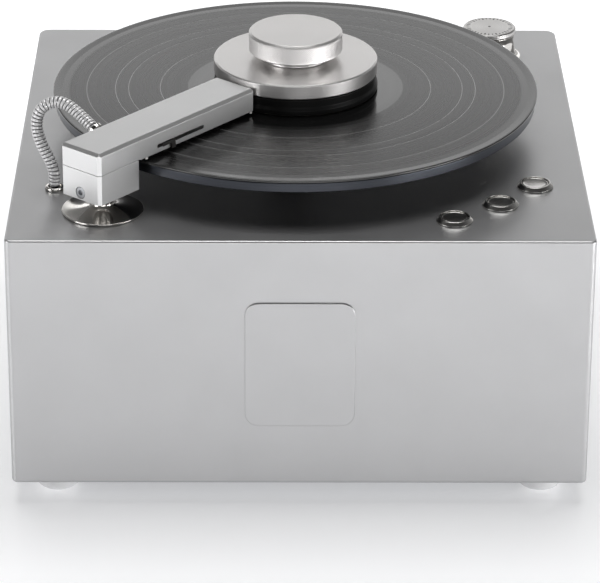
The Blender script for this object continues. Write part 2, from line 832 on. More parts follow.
def dial_face():
    """The dial's top: turned metal with a ring of plain marks and a dark middle."""
    look = Look("dial_face", (0.62, 0.61, 0.60), 1.0, 0.34, Anisotropic=0.3)
    look.round_tangent()
    look.shader.inputs["Anisotropic Rotation"].default_value = 0.25
    radius = look.radius()
    parts = look.add("ShaderNodeSeparateXYZ", {"Vector": look.place}).outputs
    angle = look.math("ARCTAN2", parts["Y"], parts["X"])
    marks = None
    for count, inner, outer, width in DIAL_MARKS:
        turn = look.math("MULTIPLY", angle, count / (2 * math.pi))
        share = look.math("ABSOLUTE", look.math("SUBTRACT", look.math("FRACT", turn), 0.5))
        across = look.remap(look.math("MULTIPLY", share, 2 * math.pi / count), width * 0.4, width * 0.6, 1, 0)
        ring = look.math("MULTIPLY", step_at(look, radius, inner, FINE_EDGE / 4), one_minus(look, step_at(look, radius, outer, FINE_EDGE / 4)))
        mark = look.math("MULTIPLY", across, ring)
        marks = mark if marks is None else look.math("MAXIMUM", marks, mark)
    top = step_at(look, parts["Z"], DIAL_TOP - EDGE, FINE_EDGE / 4)
    marks = look.math("MULTIPLY", marks, top)
    dot = one_minus(look, step_at(look, radius, DIAL_DOT, FINE_EDGE / 2))
    dark = look.math("MAXIMUM", marks, look.math("MULTIPLY", dot, top))
    rings = look.add("ShaderNodeTexNoise", {"W": radius, "Scale": 1900, "Detail": 2.0}, noise_dimensions="1D")
    metal = look.tint(look.remap(rings.outputs[0], 0.35, 0.65, 0.0, 1.0), (0.56, 0.55, 0.54))
    look.paint(look.tint(dark, (0.025, 0.025, 0.025), metal))
    look.rough(rings.outputs[0], 0.05)
    look.bump(rings.outputs[0], 0.03, 0.00004)
    return look.material


# The dial's marks: how many, inner and outer radius, and width as an angle
DIAL_MARKS = [(36, 0.0134, 0.0152, 0.055), (12, 0.0128, 0.0152, 0.075)]
DIAL_DOT = 0.0009

LOOKS = {
    "case_silver": blasted("case_silver", (0.51, 0.51, 0.515), 0.38, cloud=0.02),
    "aluminium": blasted("aluminium", (0.72, 0.72, 0.72), 0.38, cloud=0.02, grain=3000, strength=0.35),
    "turned_aluminium": lathe_turned("turned_aluminium", (0.79, 0.775, 0.765), 0.36, anisotropy=0.15, strength=0.1),
    "knurl": blasted("knurl", (0.93, 0.91, 0.90), 0.42, grain=2400),
    "platter": lathe_turned("platter", (0.060, 0.064, 0.074), 0.34, pitch=0.0004),
    "steel": brushed("steel", (0.50, 0.51, 0.53), 0.36),
    "chrome": lathe_turned("chrome", (0.74, 0.72, 0.69), 0.10, pitch=0.0005, anisotropy=0.0, strength=0.05, spread=0.03),
    "satin_chrome": lathe_turned(
        "satin_chrome", (0.56, 0.55, 0.53), 0.22, pitch=0.0004, anisotropy=0.0, strength=0.08, spread=0.03
    ),
    "bronze": blasted("bronze", (0.50, 0.34, 0.17), 0.42, grain=1800, strength=0.6),
    "brass": lathe_turned("brass", (0.72, 0.54, 0.26), 0.24),
    "black_rubber": moulded("black_rubber", (0.004, 0.004, 0.004), 0.32, strength=0.05, Specular_IOR_Level=0.1),
    "vinyl": vinyl(),
    "paper": label_paper(),
    "hose": hose_plastic(),
    "velvet": velvet(),
    "foot_grey": moulded("foot_grey", (0.66, 0.66, 0.665), 0.38, Metallic=0.3),
    "black_plastic": moulded("black_plastic", (0.018, 0.018, 0.019), 0.42, grain=1300, strength=0.3),
    "grey_plastic": moulded("grey_plastic", (0.20, 0.21, 0.22), 0.45, grain=1300, strength=0.3),
    "white_plastic": moulded("white_plastic", (0.72, 0.72, 0.69), 0.40),
    "board": moulded("board", (0.02, 0.13, 0.05), 0.35, grain=500, strength=0.4),
    "dial_face": dial_face(),
}


# Pieces


def case_shell():
    """The cover: a shell with rounded edges, corner posts inside, and its holes."""
    width, depth = CASE_HIGH.x - CASE_LOW.x, CASE_HIGH.y - CASE_LOW.y
    centre = (0, MIDDLE_Y)
    front, rear = FRONT_CORNER_RADIUS, REAR_CORNER_RADIUS
    outside = rectangle(width, depth, front, rear, rear, front, centre=centre)
    shell = slab(outside, CASE_LOW.z, DECK, TOP_ROUNDING, BOTTOM_ROUNDING, steps=8)
    inner_width, inner_depth = width - 2 * COVER_WALL, depth - 2 * COVER_WALL
    inside = rectangle(inner_width, inner_depth, INNER_CORNER_RADIUS, centre=centre)
    post_x, post_y = inner_width / 2 - POST_SIZE, inner_depth / 2 - POST_SIZE
    between = [
        rectangle(2 * post_x, inner_depth, centre=centre),
        rectangle(inner_width, 2 * post_y, centre=centre),
    ]
    cutters = [
        slab(inside, CASE_LOW.z - CUT_OVERRUN, POST_BOTTOM),
        slab(inside, POST_TOP, DECK - COVER_WALL),
        *[slab(outline, CASE_LOW.z, POST_TOP + CUT_OVERRUN) for outline in between],
    ]
    for name in FEET:
        foot = centre_of(name)
        stud_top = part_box(name)[1].z + SEAT_GAP
        cutters.append(rod(STUD_RADIUS + SEAT_GAP, CASE_LOW.z, stud_top, TINY_STEPS, (foot.x, foot.y, 0)))
    low, high = DECK - COVER_WALL - CUT_OVERRUN, DECK + CUT_OVERRUN
    holes = [(PLATTER_AXIS, 0.011), (ARM_AXIS, 0.0087), (GLAND, GLAND_BODY), (DIAL_AXIS, DIAL_SHAFT)]
    holes += [(place, BARREL_RADIUS) for place in BUTTONS]
    for place, radius in holes:
        cutters.append(rod(radius + SEAT_GAP, low, high, SMALL_STEPS, (place.x, place.y, 0)))
    low, high = BACK_Y - COVER_WALL - CUT_OVERRUN, BACK_Y + CUT_OVERRUN
    openings = [("mains_inlet", INLET_BODY), ("switch_frame", SWITCH_BODY), ("exhaust_grille", GRILLE_OPENING)]
    for node, (width, height, _) in openings:
        middle = centre_of(node)
        half_x, half_z = width / 2 + SEAT_GAP, height / 2 + SEAT_GAP
        corner = (middle.x - half_x, low, middle.z - half_z)
        cutters.append(block(corner, (middle.x + half_x, high, middle.z + half_z)))
    cutters.append(rod(COCK_STUB_RADIUS + SEAT_GAP, low, high, SMALL_STEPS, cock_place(), ALONG_Y))
    made = mesh_object("case_shell", carved(shell, *cutters), look=LOOKS["case_silver"])
    dress(made, "case", "case_silver", "case_cover")


def badge():
    """The bare plate on the front."""
    low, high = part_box("front_badge")
    size = high - low
    outline = rectangle(size.x, size.z, BADGE_CORNER_RADIUS)
    bm = slab(outline, 0, size.y, edge=0.0006, steps=5)
    turn = Matrix.Rotation(math.pi / 2, 4, "X")
    place = ((low.x + high.x) / 2, high.y, (low.z + high.z) / 2)
    made = mesh_object("badge_plate", bm, place, turn, LOOKS["case_silver"])
    dress(made, "case", "case_silver", "front_badge")


def feet():
    """The four domed feet."""
    for name in FEET:
        low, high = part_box(name)
        top = CASE_LOW.z - SEAT_GAP
        profile = [
            (0, 0),
            (0.0092, 0, 0.0008),
            *quarter((0.0098, 0.0003), (0.0135, 0.0048))[1:],
            (0.0135, top, EDGE),
            (STUD_RADIUS, top),
            (STUD_RADIUS, high.z),
            (0, high.z),
        ]
        made = turned(name + "_domed", profile, SMALL_STEPS, (*centre_of(name).xy, 0), LOOKS["foot_grey"])
        dress(made, "case", "foot_grey", name)


def record():
    """The record: rim bead, grooves, the bands between the tracks and a sunk seat for the label."""
    top, under = RECORD_TOP, RECORD_TOP - RECORD_THICKNESS
    music = top - RECORD_SINK
    profile = [
        (RECORD_HOLE, under),
        (LABEL_RADIUS, under),
        (RECORD_RADIUS, under, RECORD_RIM),
        (RECORD_RADIUS, top, RECORD_RIM),
        (RECORD_RADIUS - RECORD_BEAD / 4, top, 0.0010),
        (RECORD_RADIUS - RECORD_BEAD, music, 0.0020),
    ]
    for radius in reversed(TRACK_RADII):
        profile += [
            (radius + TRACK_HALF_WIDTH, music),
            (radius, music - TRACK_DEPTH, TRACK_HALF_WIDTH / 2),
            (radius - TRACK_HALF_WIDTH, music),
        ]
    label_floor = top - LABEL_THICKNESS - SEAT_GAP
    profile += [
        (RUN_OUT_RADIUS, music),
        (LABEL_RADIUS + 0.0010, music, EDGE),
        (LABEL_RADIUS + SEAT_GAP, music),
        (LABEL_RADIUS + SEAT_GAP, label_floor),
        (RECORD_HOLE, label_floor),
    ]
    made = turned("record_disc", profile, LARGE_STEPS, PLATTER_AXIS, LOOKS["vinyl"], arc_steps=12)
    dress(made, "platter", "vinyl", "record")
    low = top - LABEL_THICKNESS
    profile = [(RECORD_HOLE, low), (LABEL_RADIUS, low), (LABEL_RADIUS, top, 0.0001), (RECORD_HOLE, top)]
    made = turned("record_label_paper", profile, MEDIUM_STEPS, PLATTER_AXIS, LOOKS["paper"])
    dress(made, "platter", "paper", "record_label")


def platter():
    """The platter with its hub and recess, and the mat in it."""
    recess = PLATTER_TOP - MAT_THICKNESS - SEAT_GAP
    under = PLATTER_TOP - PLATTER_THICKNESS
    bore = SHAFT_RADIUS + RUN_GAP
    hub_under = WASHER_TOP + SEAT_GAP
    profile = [
        (bore, hub_under),
        (PLATTER_HUB, hub_under, EDGE),
        (PLATTER_HUB, under, 0.002),
        (PLATTER_RADIUS, under, 0.0007),
        (PLATTER_RADIUS, PLATTER_TOP, 0.0007),
        (MAT_RADIUS + SEAT_GAP, PLATTER_TOP, FINE_EDGE),
        (MAT_RADIUS + SEAT_GAP, recess),
        (bore, recess),
    ]
    made = turned("platter_turned", profile, LARGE_STEPS, PLATTER_AXIS, LOOKS["platter"])
    dress(made, "platter", "platter", "platter")
    profile = [
        (bore, PLATTER_TOP - MAT_THICKNESS),
        (MAT_RADIUS, PLATTER_TOP - MAT_THICKNESS),
        (MAT_RADIUS, PLATTER_TOP, FINE_EDGE),
        (bore, PLATTER_TOP),
    ]
    made = turned("platter_mat_sheet", profile, LARGE_STEPS, PLATTER_AXIS, LOOKS["black_rubber"])
    dress(made, "platter", "black_rubber", "platter_mat")


def spindle():
    """The shaft whose top end is the spindle."""
    low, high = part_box("spindle_shaft")
    shoulder = PLATTER_TOP - MAT_THICKNESS - SEAT_GAP
    top = high.z - DECK
    profile = [
        (0, low.z - DECK),
        (SHAFT_RADIUS, low.z - DECK, EDGE),
        (SHAFT_RADIUS, shoulder),
        (SPINDLE_RADIUS, shoulder),
        (SPINDLE_RADIUS, top - 0.0015, 0.0008),
        (0.002, top, 0.0004),
        (0, top),
    ]
    made = turned("spindle_turned", profile, SMALL_STEPS, PLATTER_AXIS, LOOKS["chrome"])
    dress(made, "platter", "chrome", "spindle_shaft")


def knurled_side(radius, low, high):
    """A bmesh of a tube wall with diamond knurling, its edge rows plain. Also gives its last rings."""
    around = round(2 * math.pi * radius / KNURL_PITCH)
    steps = around * 4
    rows = round((high - low) / KNURL_PITCH * 4)
    bm = bmesh.new()
    rings = []
    for row in range(rows + 1):
        height = low + (high - low) * row / rows
        fade = min(1.0, 3 * min(row, rows - row) / rows * 4)
        ring = []
        for step in range(steps):
            turn = step / 4
            first = abs(((turn + row / 4) % 1) - 0.5) * 2
            second = abs(((turn - row / 4) % 1) - 0.5) * 2
            depth = KNURL_DEPTH * fade * (1 - min(first, second) * 2 if min(first, second) < 0.5 else 0)
            angle = 2 * math.pi * step / steps
            reach = radius - depth
            ring.append(bm.verts.new((reach * math.cos(angle), reach * math.sin(angle), height)))
        rings.append(ring)
    for one, other in zip(rings, rings[1:]):
        for step in range(steps):
            following = (step + 1) % steps
            bm.faces.new((one[step], one[following], other[following], other[step]))
    return bm, rings


def clamp():
    """The record clamp: lipped seal, disc with its boss, and the knurled knob."""
    profile = [
        (SEAL_BORE, SEAL_UNDER),
        (SEAL_LIP_RADIUS, SEAL_UNDER, 0.0006),
        (SEAL_LIP_RADIUS, SEAL_UNDER + SEAL_LIP_HEIGHT, 0.0010),
        (SEAL_RADIUS, SEAL_UNDER + SEAL_SLOPE_TOP, 0.0012),
        (SEAL_RADIUS, SEAL_UNDER + SEAL_HEIGHT, 0.0006),
        (SEAL_BORE, SEAL_UNDER + SEAL_HEIGHT),
    ]
    made = turned("clamp_seal_ring", profile, LARGE_STEPS, PLATTER_AXIS, LOOKS["black_rubber"])
    dress(made, "clamp", "black_rubber", "clamp_seal")
    bore = KNOB_STEM + RUN_GAP
    chamfered = DISC_RADIUS - DISC_CHAMFER
    boss_top = DISC_TOP + BOSS_HEIGHT
    profile = [
        (bore, DISC_UNDER),
        (chamfered, DISC_UNDER, FINE_EDGE),
        (DISC_RADIUS, DISC_UNDER + DISC_CHAMFER, FINE_EDGE),
        (DISC_RADIUS, DISC_TOP - DISC_CHAMFER, FINE_EDGE),
        (chamfered, DISC_TOP, FINE_EDGE),
        (BOSS_RADIUS, DISC_TOP, 0.0008),
        (BOSS_RADIUS, boss_top, EDGE),
        (bore, boss_top),
    ]
    made = turned("clamp_disc_turned", profile, LARGE_STEPS, PLATTER_AXIS, LOOKS["turned_aluminium"])
    dress(made, "clamp", "aluminium", "clamp_disc")
    side_low = KNOB_UNDER + DISC_CHAMFER
    side_high = KNOB_TOP - KNOB_CHAMFER
    rim = KNOB_RADIUS - KNOB_CHAMFER
    profile = [
        (KNOB_RADIUS, side_high),
        (rim, KNOB_TOP, FINE_EDGE),
        (0, KNOB_TOP),
    ]
    spindle_bore = SPINDLE_RADIUS + RUN_GAP
    stem_under = KNOB_UNDER - KNOB_STEM_LENGTH
    bore_top = KNOB_TOP - KNOB_BORE_TOP
    lower = [
        (0, bore_top),
        (spindle_bore, bore_top),
        (spindle_bore, stem_under),
        (KNOB_STEM, stem_under, EDGE),
        (KNOB_STEM, KNOB_UNDER, EDGE),
        (KNOB_RADIUS - DISC_CHAMFER, KNOB_UNDER, FINE_EDGE),
        (KNOB_RADIUS, side_low),
    ]
    side, rings = knurled_side(KNOB_RADIUS, side_low, side_high)
    steps = len(rings[0])
    for face in side.faces:
        face.material_index = 1
    body = join(open_spun(rounded(lower), steps), side, open_spun(rounded(profile), steps))
    bmesh.ops.remove_doubles(body, verts=body.verts, dist=1e-6)
    made = mesh_object("clamp_knob_knurled", body, PLATTER_AXIS, None, LOOKS["turned_aluminium"])
    made.data.materials.append(LOOKS["knurl"])
    dress(made, "clamp_knob", "aluminium", "clamp_knob")


def open_spun(profile, steps):
    """A bmesh of a profile turned about Z and left open at its ends."""
    bm = spun(profile, steps)
    gone = []
    first, last = profile[0], profile[-1]
    for face in bm.faces:
        heights = [round(vert.co.z, 7) for vert in face.verts]
        reaches = [vert.co.xy.length for vert in face.verts]
        spans = {round(first[1], 7), round(last[1], 7)}
        if set(heights) == spans and abs(max(reaches) - max(first[0], last[0])) < 1e-7:
            if abs(min(reaches) - min(first[0], last[0])) < 1e-7:
                gone.append(face)
    bmesh.ops.delete(bm, geom=gone, context="FACES_ONLY")
    return bm


def arm_beam():
    """The beam: chamfered bar, side slot, channel, duct and two small pegs."""
    half = ARM_WIDTH / 2
    reach = arm_reach()
    corners = rectangle(ARM_BACK + reach, ARM_WIDTH, 0.0, centre=((reach - ARM_BACK) / 2, 0))
    bm = stacked([([point[:2] for point in corners], ARM_SEAM), ([point[:2] for point in corners], BEAM_TOP)])
    under = BEAM_TOP - ARM_CHAMFER
    bevel(bm, lambda a, b: min(a.z, b.z) > under, ARM_CHAMFER, 1)
    ends = (-ARM_BACK + ARM_CHAMFER / 2, reach - ARM_CHAMFER / 2)
    bevel(bm, lambda a, b: upright(a, b) and not ends[0] < a.x < ends[1], ARM_CORNER, 1)
    soften(bm)
    return bm


def upright(a, b):
    """Whether an edge stands straight up."""
    return abs(a.x - b.x) < 1e-6 and abs(a.y - b.y) < 1e-6


def arm_reach():
    """How far the beam's tip is from the post's axis, from the frame."""
    mesh = NODES["arm_beam"].data
    turn = ARM_TURN.inverted()
    return max((turn @ (vert.co - ARM_AXIS)).x for vert in mesh.vertices)


def arm():
    """The beam and the block under it."""
    half = ARM_WIDTH / 2
    reach = arm_reach()
    block_end = BLOCK_LENGTH - ARM_BACK
    tip_low = BEAM_UNDER
    bm = block((-ARM_BACK, -half, BEAM_UNDER), (reach, half, BEAM_TOP))
    under = BEAM_TOP - ARM_CHAMFER
    bevel(bm, lambda a, b: min(a.z, b.z) > under, ARM_CHAMFER, 1)
    ends = (-ARM_BACK + ARM_CHAMFER / 2, reach - ARM_CHAMFER / 2)
    bevel(bm, lambda a, b: upright(a, b) and not ends[0] < a.x < ends[1], ARM_CORNER, 1)
    soften(bm)
    slot_length = SLOT_END - SLOT_START
    slot_middle = (SLOT_START + SLOT_END) / 2
    slot = slab(rectangle(slot_length, SLOT_HEIGHT, SLOT_HEIGHT * 0.49), 0, half + CUT_OVERRUN)
    stand = Matrix.Rotation(math.pi / 2, 4, "X")
    recess_half = LIP_WIDTH / 2 + SEAT_GAP
    recess_top = BEAM_UNDER - LIP_PROUD + LIP_THICKNESS + SEAT_GAP
    low = BEAM_UNDER - CUT_OVERRUN
    channel_half = CHANNEL_WIDTH / 2
    cutters = [
        block((-ARM_BACK - CUT_OVERRUN, -half - CUT_OVERRUN, low), (block_end, half + CUT_OVERRUN, ARM_SEAM)),
        placed(slot, (slot_middle, 0, SLOT_RISE), stand),
        block((LIP_START - SEAT_GAP, -recess_half, low), (reach + CUT_OVERRUN, recess_half, recess_top)),
        block((CHANNEL_START, -channel_half, low), (reach - CHANNEL_END_WALL, channel_half, BEAM_UNDER + CHANNEL_DEPTH)),
        block((FITTING_X, -DUCT_RADIUS, DUCT_RISE - DUCT_RADIUS), (CHANNEL_START + CUT_OVERRUN, DUCT_RADIUS, DUCT_RISE + DUCT_RADIUS)),
        rod(DUCT_RADIUS, 0, half + CUT_OVERRUN, TINY_STEPS, (FITTING_X, 0, DUCT_RISE), ALONG_Y),
    ]
    made = mesh_object("arm_beam_milled", carved(bm, *cutters), ARM_AXIS, ARM_TURN, LOOKS["aluminium"])
    dress(made, "arm", "aluminium", "arm_beam")
    pegs = []
    for x in (block_end + PEG_FROM_BLOCK, reach - PEG_FROM_TIP):
        profile = [(0, tip_low - PEG_LENGTH), (PEG_RADIUS, tip_low - PEG_LENGTH, FINE_EDGE), (PEG_RADIUS, tip_low - FINE_EDGE / 10), (0, tip_low - FINE_EDGE / 10)]
        pegs.append(placed(spun(rounded(profile), TINY_STEPS), (x, PEG_EDGE - half, 0)))
    made = mesh_object("arm_pegs", join(*pegs), ARM_AXIS, ARM_TURN, LOOKS["white_plastic"])
    dress(made, "arm", "aluminium")
    bm = block((-ARM_BACK, -half, BLOCK_UNDER), (block_end, half, ARM_SEAM - SEAT_GAP))
    bevel(bm, upright, ARM_CORNER, 1)
    soften(bm)
    screw_place = (0, 0, SCREW_RISE)
    head_end = SCREW_DEPTH - ARM_BACK
    cutters = [
        rod(POST_RADIUS + SEAT_GAP, BLOCK_UNDER - CUT_OVERRUN, BLOCK_UNDER + BLOCK_BORE_DEPTH),
        rod(SCREW_RADIUS + SEAT_GAP, -ARM_BACK - CUT_OVERRUN, head_end, SMALL_STEPS, screw_place, ALONG_X),
        rod(SCREW_SHANK + SEAT_GAP, head_end - CUT_OVERRUN, -POST_RADIUS, TINY_STEPS, screw_place, ALONG_X),
    ]
    made = mesh_object("arm_block_milled", carved(bm, *cutters), ARM_AXIS, ARM_TURN, LOOKS["aluminium"])
    dress(made, "arm", "aluminium", "arm_block")


def arm_screw():
    """The hex socket screw in the block."""
    start = -ARM_BACK
    profile = [
        (0, start),
        (SCREW_RADIUS, start, EDGE),
        (SCREW_RADIUS, start + SCREW_DEPTH - SEAT_GAP),
        (SCREW_SHANK, start + SCREW_DEPTH - SEAT_GAP),
        (SCREW_SHANK, -POST_RADIUS - SEAT_GAP),
        (0, -POST_RADIUS - SEAT_GAP),
    ]
    body = placed(spun(rounded(profile), SMALL_STEPS), (0, 0, SCREW_RISE), ALONG_X)
    socket = rod(SCREW_SOCKET, start - CUT_OVERRUN, start + SCREW_SOCKET_DEPTH, 6, (0, 0, SCREW_RISE), ALONG_X)
    made = mesh_object("arm_screw_turned", carved(body, socket), ARM_AXIS, ARM_TURN, LOOKS["steel"])
    dress(made, "arm", "steel", "arm_screw")


def suction_lip():
    """The pile-faced frame round the slot, and the tab that pushes it out."""
    half = LIP_WIDTH / 2
    low = BEAM_UNDER - LIP_PROUD
    high = low + LIP_THICKNESS
    end = arm_reach() - LIP_END_INSET
    middle = ((LIP_START + end) / 2, 0)
    frame_bm = slab(rectangle(end - LIP_START, 2 * half, 0.0008, centre=middle), low, high, low_edge=0.0008)
    slot_half = LIP_SLOT_WIDTH / 2
    slot = block((LIP_START + LIP_SLOT_MARGIN, -slot_half, low - CUT_OVERRUN), (end - LIP_SLOT_MARGIN, slot_half, high + CUT_OVERRUN))
    tab_low, tab_high = SLOT_RISE - TAB_THICKNESS / 2, SLOT_RISE + TAB_THICKNESS / 2
    tab_end = TAB_START + TAB_LENGTH
    riser_outer = SEAT_GAP - CHANNEL_WIDTH / 2
    riser_inner = -slot_half - SEAT_GAP
    face = -ARM_WIDTH / 2 - SEAT_GAP
    outside = face - TAB_PROUD
    riser = block((TAB_START, riser_outer, (low + high) / 2), (tab_end, riser_inner, tab_high))
    arm_bm = block((TAB_START, outside, tab_low), (tab_end, (riser_outer + riser_inner) / 2, tab_high))
    leg = block((tab_end - TAB_LEG_WIDTH, outside, BEAM_UNDER), (tab_end, face, SLOT_RISE))
    pad = carved(carved(frame_bm, slot), riser, arm_bm, leg, operation="UNION")
    made = mesh_object("suction_lip_pile", pad, ARM_AXIS, ARM_TURN, LOOKS["velvet"])
    dress(made, "arm", "velvet", "suction_lip")


def lift_spring():
    """The coil spring that lifts the post, and shortens as the post goes down."""
    low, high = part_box("lift_spring")
    bottom = low.z + SPRING_WIRE_RADIUS
    rise = high.z - SPRING_WIRE_RADIUS - bottom
    steps = SPRING_TURNS * SPRING_STEPS
    route = []
    for index in range(steps + 1):
        angle = 2 * math.pi * index / SPRING_STEPS
        across = Vector((math.cos(angle), math.sin(angle), 0)) * SPRING_COIL_RADIUS
        route.append(across + Vector((0, 0, bottom + rise * index / steps)))
    coil, _ = swept(route, SPRING_SIDES, lambda along, turn: SPRING_WIRE_RADIUS)
    place = (*ARM_AXIS.xy, 0)
    made = mesh_object("lift_spring_coil", coil, place, None, LOOKS["steel"])
    dress(made, "case", "steel", "lift_spring")
    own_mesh(made)


def arm_post():
    """The post with its collar, and the trumpet-shaped base round it."""
    low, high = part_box("arm_post")
    collar_top = BLOCK_UNDER - SEAT_GAP
    collar_under = collar_top - COLLAR_HEIGHT
    stop_top = -0.022 - SEAT_GAP
    profile = [
        (0, low.z - DECK),
        (0.0038, low.z - DECK, EDGE),
        (0.0038, stop_top - 0.003),
        (0.0074, stop_top - 0.003),
        (0.0074, stop_top),
        (POST_RADIUS, stop_top),
        (POST_RADIUS, collar_under),
        (COLLAR_RADIUS, collar_under, 0.0005),
        (COLLAR_RADIUS, collar_top, 0.0005),
        (POST_RADIUS, collar_top),
        (POST_RADIUS, high.z - DECK, EDGE),
        (0, high.z - DECK),
    ]
    made = turned("arm_post_turned", profile, MEDIUM_STEPS, ARM_AXIS, LOOKS["chrome"])
    dress(made, "arm_post", "chrome", "arm_post")
    bore = POST_RADIUS + RUN_GAP
    top = collar_under - ARM_TRAVEL - SEAT_GAP
    profile = [
        (bore, SEAT_GAP),
        (FLARE_RADIUS, SEAT_GAP, EDGE),
        (FLARE_RADIUS, SEAT_GAP + FLARE_RIM, EDGE),
        *quarter((FLARE_RADIUS - EDGE * 2, SEAT_GAP + FLARE_RIM), (COLLAR_RADIUS, top - FLARE_NECK_LENGTH), 24),
        (COLLAR_RADIUS, top, EDGE),
        (bore, top),
    ]
    made = turned("arm_base_trumpet", profile, MEDIUM_STEPS, ARM_AXIS, LOOKS["chrome"])
    dress(made, "case", "chrome", "arm_base_flare")


def smooth_route(points, samples=12):
    """A smooth curve through the points, whose first and last spans stay straight."""
    inner = points[1:-1]
    tangents = []
    for index, point in enumerate(inner):
        if index == 0:
            tangents.append((points[1] - points[0]).normalized() * (inner[1] - point).length)
        elif index == len(inner) - 1:
            tangents.append((points[-1] - points[-2]).normalized() * (point - inner[-2]).length)
        else:
            tangents.append((inner[index + 1] - inner[index - 1]) / 2)
    curve = [points[0], inner[0]]
    for index in range(len(inner) - 1):
        start, end = inner[index], inner[index + 1]
        for sample in range(1, samples + 1):
            share = sample / samples
            square, cube = share**2, share**3
            curve.append(
                start * (2 * cube - 3 * square + 1)
                + tangents[index] * (cube - 2 * square + share)
                + end * (3 * square - 2 * cube)
                + tangents[index + 1] * (cube - square)
            )
    curve.append(points[-1])
    return curve


def route_length(route):
    """How long a route is along its points."""
    return sum((end - start).length for start, end in zip(route, route[1:]))


def even_points(route, spans):
    """Points the same distance apart along a route, its two ends among them."""
    step = route_length(route) / spans
    found = [route[0]]
    travelled = 0
    for start, end in zip(route, route[1:]):
        length = (end - start).length
        while len(found) < spans and travelled + length >= step * len(found):
            found.append(start.lerp(end, (step * len(found) - travelled) / length))
        travelled += length
    found.append(route[-1])
    return found


def swept(route, sides, radius_at, closed_by=None):
    """A bmesh of a tube along even points. radius_at gives the radius at a point and a turn, both shares."""
    bm = bmesh.new()
    tangents = []
    for index in range(len(route)):
        ahead = route[min(index + 1, len(route) - 1)]
        behind = route[max(index - 1, 0)]
        tangents.append((ahead - behind).normalized())
    side = tangents[0].orthogonal().normalized()
    rings = []
    for index, (point, tangent) in enumerate(zip(route, tangents)):
        side = (side - tangent * side.dot(tangent)).normalized()
        other = tangent.cross(side)
        ring = []
        for step in range(sides):
            angle = 2 * math.pi * step / sides
            reach = radius_at(index / (len(route) - 1), step / sides)
            ring.append(bm.verts.new(point + (side * math.cos(angle) + other * math.sin(angle)) * reach))
        rings.append(ring)
    for one, following in zip(rings, rings[1:]):
        for step in range(sides):
            after = (step + 1) % sides
            bm.faces.new((one[step], one[after], following[after], following[step]))
    if closed_by is None:
        bm.faces.new(rings[0][::-1])
        bm.faces.new(rings[-1])
    return bm, rings


def fitting_points():
    """The elbow's start, bends and end, in the arm's own axes, and the way that it points."""
    elbow = Vector((FITTING_X, ARM_WIDTH / 2 + FITTING_ELBOW_OUT, DUCT_RISE))
    direction = Vector((0, math.cos(FITTING_ELBOW_ANGLE), math.sin(FITTING_ELBOW_ANGLE)))
    tip = elbow + direction * FITTING_ELBOW_LENGTH
    start = Vector((FITTING_X, ARM_WIDTH / 2 + SEAT_GAP, DUCT_RISE))
    before = elbow.lerp(start, ELBOW_BEND_SHARES[0])
    after = elbow.lerp(tip, ELBOW_BEND_SHARES[1])
    return [start, before, after, tip], direction


def arm_hose_fitting():
    """The elbow on the arm's far side, with its base ring and its cup."""
    points, _ = fitting_points()
    route = even_points(smooth_route(points, 8), 24)
    tube, _ = swept(route, TINY_STEPS, lambda along, turn: FITTING_RADIUS)
    base = [(0, 0), (FITTING_BASE_RADIUS, 0), (FITTING_BASE_RADIUS, FITTING_BASE_LENGTH, EDGE), (0, FITTING_BASE_LENGTH)]
    cup = [
        (0, -FITTING_CUP_LENGTH),
        (FITTING_CUP_RADIUS, -FITTING_CUP_LENGTH, 0.0005),
        (FITTING_CUP_RADIUS, 0, 0.0004),
        (0, 0),
    ]
    tilt = Matrix.Rotation(FITTING_ELBOW_ANGLE, 4, "X") @ ALONG_Y
    shapes = join(
        tube,
        placed(spun(rounded(base), SMALL_STEPS), points[0], ALONG_Y),
        placed(spun(rounded(cup), SMALL_STEPS), points[-1], tilt),
    )
    made = mesh_object("hose_elbow", shapes, ARM_AXIS, ARM_TURN, LOOKS["chrome"])
    dress(made, "arm", "aluminium", "arm_hose_fitting")


def hose():
    """The ribbed hose from the gland on the deck to the arm's elbow."""
    straight = 2 * HOSE_RADIUS
    start = GLAND + Vector((0, 0, GLAND_HEIGHT + SEAT_GAP))
    points, direction = fitting_points()
    outward = ARM_TURN @ direction
    end = ARM_AXIS + ARM_TURN @ points[-1] + outward * SEAT_GAP
    route = [ARM_AXIS + Vector(point) for point in HOSE_ROUTE]
    smooth = smooth_route([start, start + Vector((0, 0, straight)), *route, end + outward * straight, end])
    length = route_length(smooth)
    ribs = round(length / HOSE_RIB_PITCH)
    rings_per_rib = 10

    def ribbed(along, turn):
        phase = along * ribs + turn
        crest = 1 - abs(math.cos(math.pi * phase)) ** 9
        ends = min(1.0, 80 * min(along, 1 - along))
        return HOSE_VALLEY_RADIUS + (HOSE_RADIUS - HOSE_VALLEY_RADIUS) * crest * max(ends, 0.0)

    even = even_points(smooth, ribs * rings_per_rib)
    outer, rings = swept(even, 28, ribbed)
    crests = []
    for index in range(len(rings)):
        for step in range(28):
            reach = ribbed(index / (len(rings) - 1), step / 28)
            crests.append((reach - HOSE_VALLEY_RADIUS) / (HOSE_RADIUS - HOSE_VALLEY_RADIUS))
    made = mesh_object("ribbed_hose", outer, look=LOOKS["hose"])
    made.data.attributes.new("crest", "FLOAT", "POINT").data.foreach_set("value", crests)
    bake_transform(made)
    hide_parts("suction_hose")


